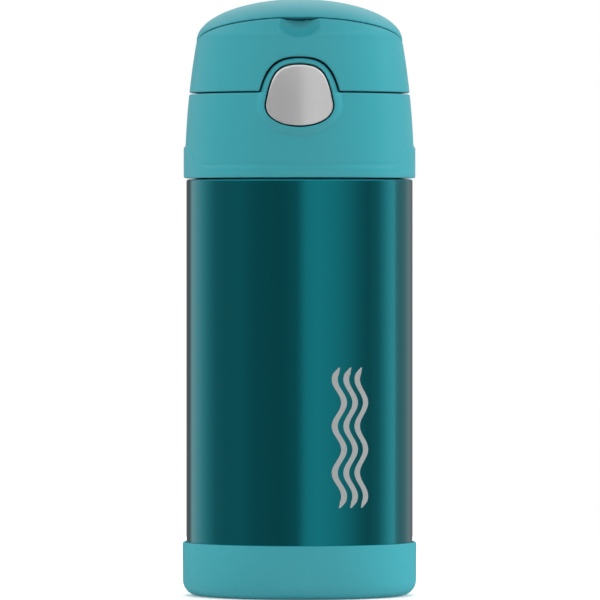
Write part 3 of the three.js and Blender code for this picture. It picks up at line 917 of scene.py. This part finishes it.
def straw_tube():
    """The straight straw below the spout, at the length of its CAD node."""
    bore, outer = 2.7, 3.7
    low, high = (corner.z for corner in node_box("drinking_straw"))
    section = [(bore, low, 0.2), (outer, low, 0.4), (outer, high, 0.3), (bore, high, 0.2)]
    return turned("straw", filleted(section), 64, (0, SPOUT_Y))


def spout_flange():
    """The foot of the silicone spout: a flat ring on the deck with a short raised neck."""
    low = FLANGE_LOW
    bore, rim = 2.2, 8.5
    outline = filleted(
        [
            (bore, low),
            (rim, low, 0.3),
            (rim, low + 1, 0.35),
            (5.4, low + 1.1, 0.9),
            (4.1, low + 1.9, 0.3),
            (bore, low + 1.9),
        ]
    )
    return turned("spout_flange", outline, 96, (0, SPOUT_Y))


# The spout's lip, from its outside round into its bore, as [distance out, loss of radius] steps.
LIP_ROUND = [(0.6, 0.15), (1.1, 0.55), (1.4, 1.2), (1.4, 2.2), (1.1, 2.8), (0.4, 3.05), (-8, 3.05)]


def folding_spout():
    """A tube that rises from the flange, bends forward and ends in a round lip with a bore."""
    root_r = 3.4
    tube_r = 4.2
    lip_r = 5.3
    bend = 4.2
    lip_rise = 0.25
    steps = 16
    bend_low = FOLD_Z - bend
    straight_y = SPOUT_Y - bend
    mouth = SPOUT_Y - SPOUT_LENGTH
    path = [(0, SPOUT_Y, FLANGE_LOW + 0.6), (0, SPOUT_Y, bend_low)]
    radii = [root_r, root_r]
    for k in range(1, steps + 1):
        angle = math.pi / 2 * k / steps
        path.append((0, straight_y + bend * math.cos(angle), bend_low + bend * math.sin(angle)))
        radii.append(root_r + (tube_r - root_r) * math.sin(angle))
    lip_start = mouth + 1.4
    for k in range(1, steps + 1):
        share = k / steps
        path.append((0, straight_y + (lip_start - straight_y) * share, FOLD_Z + lip_rise * share))
        radii.append(tube_r + (lip_r - tube_r) * share**2)
    for out, inward in LIP_ROUND:
        path.append((0, lip_start - out, FOLD_Z + lip_rise))
        radii.append(lip_r - inward)
    return tube("folding_spout", path, radii, 48)


# ---- The flip cap and the handle ----


def finger_scoop():
    """An ellipsoid under the handle's front edge."""
    steps = 32
    angles = [math.pi * k / steps - math.pi / 2 for k in range(steps + 1)]
    outline = [(NOTCH_R * max(0.0, math.cos(a)), NOTCH_R * math.sin(a)) for a in angles]
    outline[0], outline[-1] = (0.0, -NOTCH_R), (0.0, NOTCH_R)
    scoop = turned("scoop", outline, 64)
    scoop.data.transform(Matrix.Diagonal((NOTCH_STRETCH, 1, 1, 1)))
    return move(scoop, 0, NOTCH_Y, BROW_FRONT)


def cap_shell():
    """The flip cap: dome, handle recess, finger scoop, the button's arch and the hinge knuckles."""
    bottom = SEAM + SEAM_GAP
    shell = lid_form(bottom)
    hollow = cut(lid_form(bottom - 5, WALL), handle_space(HANDLE_GAP + HANDLE_WALL))
    cut(shell, hollow)
    half = NOTCH_R * NOTCH_STRETCH + 1.5
    back = NOTCH_Y + NOTCH_R + 1.6
    block = box(-half, half, -32, back, BROW_FRONT - NOTCH_R - 2.4, BROW_FRONT + 2)
    join(shell, keep(lid_form(bottom, 0.4), block))
    cut(shell, handle_space(HANDLE_GAP), finger_scoop(), prism("arch", arch(0, 140), -OUT, -23, "y"))
    for room, (low, high) in zip(mirrored(EAR_ROOM_X), mirrored(KNUCKLE_X)):
        cut(shell, rod_x(*room, HINGE_Y, HINGE_Z, KNUCKLE_R + KNUCKLE_GAP))
        knuckle = rod_x(low, high, HINGE_Y, HINGE_Z, KNUCKLE_R)
        join(knuckle, box(low, high, *KNUCKLE_Y, HINGE_Z, KNUCKLE_HEAD))
        join(shell, knuckle)
    cut(
        shell,
        rod_x(-COIL_ROOM, COIL_ROOM, HINGE_Y, HINGE_Z, KNUCKLE_R),
        hinge_bore(),
        pivot_bore(GRIP_HALF + 2),
    )
    return moulded(shell, SHELL_VOXEL)


def bail():
    """The carry handle: what the lid's form holds above the brow line, outside the grip form."""
    handle = keep(lid_form(150), prism("side", handle_side(0), -OUT, OUT, "x"))
    cut(handle, grip_form(0), pivot_bore(GRIP_HALF + 4))
    return moulded(handle, SHELL_VOXEL, 12)


def wave_mark(middle):
    """A thin printed wave line that runs up the shell, wrapped round it and narrower at its ends."""
    steps = 120
    vertices = []
    for depth in (0.0, WAVE_LIFT):
        for k in range(steps + 1):
            z = WAVE_LOW + (WAVE_HIGH - WAVE_LOW) * k / steps
            sway = WAVE_SWAY * math.sin(2 * math.pi * (z - WAVE_LOW) / WAVE_LENGTH)
            taper = min(1.0, 0.25 + 3 * min(k, steps - k) / 20)
            for side in (-1, 1):
                angle = (middle + sway + side * WAVE_HALF * taper) / SHELL_R
                r = SHELL_R + depth
                vertices.append((r * math.sin(angle), -r * math.cos(angle), z))
    row = 2 * (steps + 1)
    faces = []
    for k in range(steps):
        a = 2 * k
        faces.append((row + a, row + a + 1, row + a + 3, row + a + 2))
        faces.append((a, a + 2, a + 3, a + 1))
        faces.append((a, row + a, row + a + 2, a + 2))
        faces.append((a + 1, a + 3, row + a + 3, row + a + 1))
    for a in (0, 2 * steps):
        faces.append((a, a + 1, row + a + 1, row + a))
    return new_object("wave", vertices, faces)


# ---- The materials in use ----

teal = teal_plastic()
rubber = teal_rubber()
painted = teal_steel()
steel = bare_steel()
spun_steel = bare_steel("spun_steel", (1, 1, 30))
silver = silver_paint()
print_silver = silver_paint("silver_print", (0.40, 0.42, 0.42), 0.25)
grey = grey_plastic()
soft = silicone()
clear = clear_plastic()


# ---- Assembly ----


def smoothed_copy(node, name, voxel, passes, body, slot, material):
    """A piece made from a CAD node's own shape, with its edges rounded."""
    piece = moulded(copy_of(node, name), voxel, passes)
    return finish_piece(piece, name, body, slot, material, node)


def build_body():
    """The steel body, its boot and its printed mark."""
    finish_piece(steel_shell(), "steel_shell", "bottle", "teal_steel", painted, "outer_shell")
    finish_piece(steel_liner(), "steel_liner", "bottle", "bare_steel", spun_steel, "inner_liner")
    finish_piece(bottom_plate(), "bottom_plate", "bottle", "bare_steel", steel, "shell_bottom")
    finish_piece(rubber_boot(), "rubber_boot", "bottle", "teal_boot", rubber, "base_boot")
    for number, x in enumerate(WAVE_MIDDLES, 1):
        finish_piece(wave_mark(x), f"wave_print_{number}", "bottle", "silver_button", print_silver)


def build_lid():
    """The screw lid with its button, springs, hinge, spout, seal and straw."""
    finish_piece(collar(), "collar", "lid", "teal_lid", teal, "lid_collar")
    finish_piece(button_face(), "button_face", "button", "silver_button", silver, "push_button")
    smoothed_copy("lid_insert", "lid_insert_moulding", INSERT_VOXEL, 4, "lid", "grey_plastic", grey)
    smoothed_copy("button_latch", "button_latch_moulding", BUTTON_VOXEL, 4, "button", "grey_plastic", grey)
    for side, name in ((-1, "left"), (1, "right")):
        node = "button_spring_" + name
        spring = finish_piece(button_spring(side), node + "_wire", "lid", "bare_steel", steel, node)
        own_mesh(spring)
    finish_piece(hinge_spring(), "hinge_spring_wire", "lid", "bare_steel", steel, "hinge_spring")
    pin = rod_x(-PIN_HALF, PIN_HALF, HINGE_Y, HINGE_Z, PIN_R, 32)
    finish_piece(pin, "hinge_pin_rod", "lid", "bare_steel", steel, "hinge_pin")
    finish_piece(spout_flange(), "spout_flange", "lid", "silicone", soft, "spout_base")
    spout = finish_piece(folding_spout(), "spout_tube", None, "silicone", soft, "spout")
    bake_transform(spout)
    finish_piece(sealing_ring(), "sealing_ring", "seal", "silicone", soft, "lid_gasket")
    finish_piece(straw_tube(), "straw_tube", "lid", "clear_plastic", clear, "drinking_straw")
    smoothed_copy("vent_valve", "vent_plug", PIN_VOXEL, 4, "lid", "silicone", soft)


def build_cap():
    """The flip cap and the carry handle with its pins."""
    finish_piece(cap_shell(), "cap_shell", "cap", "teal_lid", teal, "flip_cap")
    finish_piece(bail(), "bail", "handle", "teal_lid", teal, "carry_handle")
    for node in ("cap_inner_liner", "cap_catch"):
        smoothed_copy(node, node + "_moulding", LINER_VOXEL, 4, "cap", "grey_plastic", grey)
    for node in ("handle_pivot_left", "handle_pivot_right"):
        smoothed_copy(node, node + "_pin", PIN_VOXEL, 3, "cap", "bare_steel", steel)


def paint_hidden_nodes():
    """Gives a finish to the two CAD nodes that are kept in their own shape."""
    for node, material in (("vacuum_seal", grey), ("getter", steel)):
        mesh = frame["nodes"][node].data
        mesh.materials.clear()
        mesh.materials.append(material)


# ---- Studio ----


FLOOR_R = 450.0
FLOOR_TOP = -0.05
FLOOR_BOTTOM = -2.0

# Each light's azimuth and elevation in degrees, distance and size in metres, and power in watts.
LIGHTS = {
    "left_side": (-105, 12, 1.5, 0.6, 8),
    "right_side": (105, 12, 1.5, 0.6, 15),
    "overhead": (0, 66, 1.4, 0.5, 6.5),
    "behind": (180, 25, 1.4, 0.8, 14),
}
LIGHT_AIM = 0.09  # height that the lights point at, in metres

# The camera's place, in metres: far in front, and almost level with the bottle's middle.
CAMERA_DISTANCE = 2.25
CAMERA_HEIGHT = 0.1068
CAMERA_AIM = 0.0895
CAMERA_SIDE = 0.00015
FOCAL_LENGTH = 445  # in millimetres, as is the sensor's width
SENSOR_WIDTH = 36


def add_floor():
    """A round pale floor, just below the boot."""
    outline = [(0.0, FLOOR_BOTTOM), (FLOOR_R, FLOOR_BOTTOM), (FLOOR_R, FLOOR_TOP), (0.0, FLOOR_TOP)]
    floor = turned("floor", outline)
    pale = Shader("floor_paint", (0.9, 0.9, 0.9), 0.9)
    pale.set("Emission Color", (1, 1, 1, 1))
    pale.set("Emission Strength", 0.2)
    floor.data.materials.append(pale.material)
    floor.visible_glossy = False


def add_light(name, azimuth, elevation, distance, size, watts):
    """A soft square light aimed at the middle of the bottle. Azimuth 0 is in front, 90 on the right."""
    data = bpy.data.lights.new(name, "AREA")
    data.shape = "SQUARE"
    data.size = size
    data.energy = watts
    light = bpy.data.objects.new(name, data)
    a, e = math.radians(azimuth), math.radians(elevation)
    towards = Vector((math.sin(a) * math.cos(e), -math.cos(a) * math.cos(e), math.sin(e)))
    light.location = Vector((0, 0, LIGHT_AIM)) + towards * distance
    light.rotation_euler = towards.to_track_quat("Z", "Y").to_euler()
    light.visible_glossy = False
    light.visible_camera = False
    bpy.context.scene.collection.objects.link(light)


# Brightness of the studio walls as the glossy surfaces see them, by the angle round from the front.
WALLS = [
    (-180, 0.12),
    (-151, 0.12),
    (-142, 0.47),
    (-134, 0.48),
    (-122, 0.42),
    (-110, 0.31),
    (-96, 0.19),
    (-80, 0.165),
    (-62, 0.17),
    (-45, 0.13),
    (-20, 0.115),
    (-3, 0.15),
    (1, 0.22),
    (7, 0.35),
    (19, 0.39),
    (38, 0.33),
    (52, 0.25),
    (66, 0.165),
    (75, 0.135),
    (88, 0.19),
    (97, 0.34),
    (106, 0.48),
    (113.5, 0.52),
    (117, 0.3),
    (126, 0.23),
    (136, 0.24),
    (148, 0.3),
    (158, 0.2),
    (180, 0.12),
]


# Brightness of the ceiling, by the height of a unit direction towards it.
CEILING = [(0.25, 0.0), (0.42, 0.85), (0.6, 0.85), (0.75, 0.3), (1.0, 0.25)]


def set_stops(ramp, levels):
    """Gives a colour ramp its [position, brightness] stops."""
    stops = ramp.color_ramp.elements
    while len(stops) < len(levels):
        stops.new(0.5)
    for stop, (position, level) in zip(stops, levels):
        stop.position = position
        stop.color = (level, level, level, 1)


def add_studio():
    """White to the camera, even light for matt surfaces, and soft bands of wall light for glossy ones."""
    world = bpy.data.worlds.new("studio")
    bpy.context.scene.world = world
    world.use_nodes = True
    nodes, links = world.node_tree.nodes, world.node_tree.links
    background = nodes["Background"]
    background.inputs["Color"].default_value = (1, 1, 1, 1)
    where = nodes.new("ShaderNodeTexCoord")
    split = nodes.new("ShaderNodeSeparateXYZ")
    links.new(where.outputs["Generated"], split.inputs["Vector"])
    angle = maths(world.node_tree, "ARCTAN2", split.outputs["X"])
    forward = maths(world.node_tree, "MULTIPLY", split.outputs["Y"], -1.0)
    links.new(forward.outputs["Value"], angle.inputs[1])
    share = nodes.new("ShaderNodeMapRange")
    share.inputs["From Min"].default_value = -math.pi
    share.inputs["From Max"].default_value = math.pi
    links.new(angle.outputs["Value"], share.inputs["Value"])
    ramp = nodes.new("ShaderNodeValToRGB")
    set_stops(ramp, [((degrees + 180) / 360, level) for degrees, level in WALLS])
    links.new(share.outputs["Result"], ramp.inputs["Fac"])
    rise = nodes.new("ShaderNodeValToRGB")
    set_stops(rise, CEILING)
    links.new(split.outputs["Z"], rise.inputs["Fac"])
    room = maths(world.node_tree, "MAXIMUM", ramp.outputs["Color"])
    links.new(rise.outputs["Color"], room.inputs[1])
    ray = nodes.new("ShaderNodeLightPath")
    matt = nodes.new("ShaderNodeMix")
    matt.inputs["A"].default_value = 0.66
    links.new(ray.outputs["Is Glossy Ray"], matt.inputs["Factor"])
    links.new(room.outputs["Value"], matt.inputs["B"])
    seen = nodes.new("ShaderNodeMix")
    seen.inputs["B"].default_value = 1.0
    links.new(ray.outputs["Is Camera Ray"], seen.inputs["Factor"])
    links.new(matt.outputs["Result"], seen.inputs["A"])
    links.new(seen.outputs["Result"], background.inputs["Strength"])


def maths(tree, operation, value, second=None):
    """A Math node on a socket. A second number that isn't given is left for a link."""
    made = tree.nodes.new("ShaderNodeMath")
    made.operation = operation
    tree.links.new(value, made.inputs[0])
    if second is not None:
        made.inputs[1].default_value = second
    return made


def add_camera():
    """A long lens from the front."""
    data = bpy.data.cameras.new("camera")
    data.lens = FOCAL_LENGTH
    data.sensor_width = SENSOR_WIDTH
    data.clip_end = 20
    camera = bpy.data.objects.new("camera", data)
    camera.location = (CAMERA_SIDE, -CAMERA_DISTANCE, CAMERA_HEIGHT)
    target = Vector((CAMERA_SIDE, 0, CAMERA_AIM))
    camera.rotation_euler = (target - camera.location).to_track_quat("-Z", "Y").to_euler()
    bpy.context.scene.collection.objects.link(camera)
    bpy.context.scene.camera = camera


add_camera()
add_studio()
add_floor()
for light_name, light_values in LIGHTS.items():
    add_light(light_name, *light_values)
build_body()
build_lid()
build_cap()
paint_hidden_nodes()
bpy.context.scene.view_settings.view_transform = "Standard"
